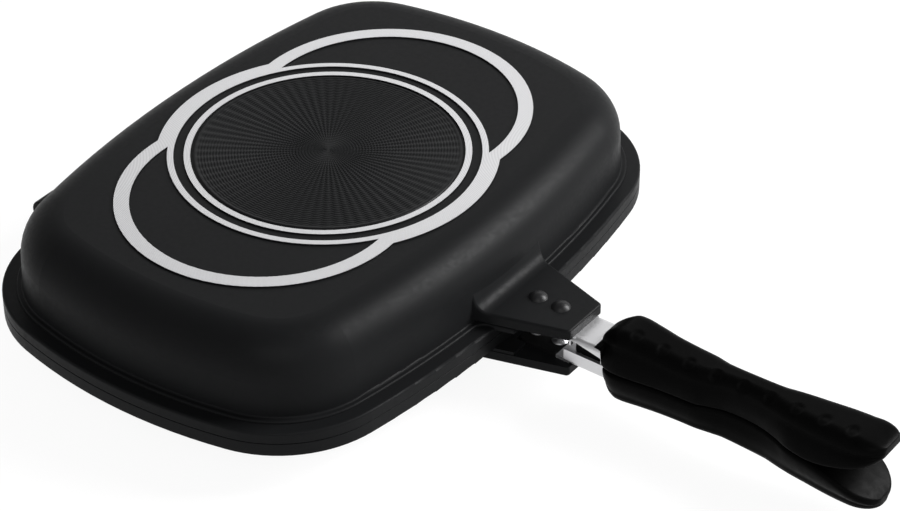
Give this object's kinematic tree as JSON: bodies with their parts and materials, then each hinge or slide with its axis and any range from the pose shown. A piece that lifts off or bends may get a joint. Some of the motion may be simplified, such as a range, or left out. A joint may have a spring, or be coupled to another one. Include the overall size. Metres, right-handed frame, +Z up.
{
  "type": "double sided flip pan",
  "caption": "A deep and a shallow rounded-rectangle cast pan hinged rim to rim, with riveted steel shanks and half grips that close into one fish-tailed handle.",
  "frame": {"origin": "on the table, at the centre of the lower pan's base (plane of its ribs)", "axes": "+Z up; +Y from the handle to the hinge, along the whole length; +X along the pan's long sides"},
  "size_m": [0.32, 0.4397, 0.0745],
  "materials": {
    "coated_cast": "die-cast aluminium with a satin black non-stick coating, base ribs machined bare",
    "steel": "pressed stainless steel, polished",
    "rivet_black": "domed aluminium rivet, satin black",
    "phenolic": "moulded black phenolic, semi-gloss",
    "screw_steel": "bright steel",
    "magnet": "nickel-plated magnet",
    "silicone": "dark grey silicone"
  },
  "bodies": {
    "lower_half": {"lower_pan": "coated_cast", "gasket": "silicone", "lower_shank": "steel", "lower_rivet_inner": "rivet_black", "lower_rivet_outer": "rivet_black", "lower_grip": "phenolic", "lower_screw_front": "screw_steel", "lower_screw_rear": "screw_steel", "lower_magnet": "magnet", "hinge_pin_left": "screw_steel", "hinge_pin_right": "screw_steel"},
    "upper_half": {"upper_pan": "coated_cast", "upper_shank": "steel", "upper_rivet_inner": "rivet_black", "upper_rivet_outer": "rivet_black", "upper_grip": "phenolic", "upper_screw_front": "screw_steel", "upper_screw_rear": "screw_steel", "upper_magnet": "magnet"}
  },
  "joints": [
    {"name": "pan_hinge", "type": "hinge", "parent": "lower_half", "child": "upper_half", "pos_m": [0, 0.1236, 0.028], "axis": [-1, 0, 0], "range_deg": [0, 150]}
  ]
}
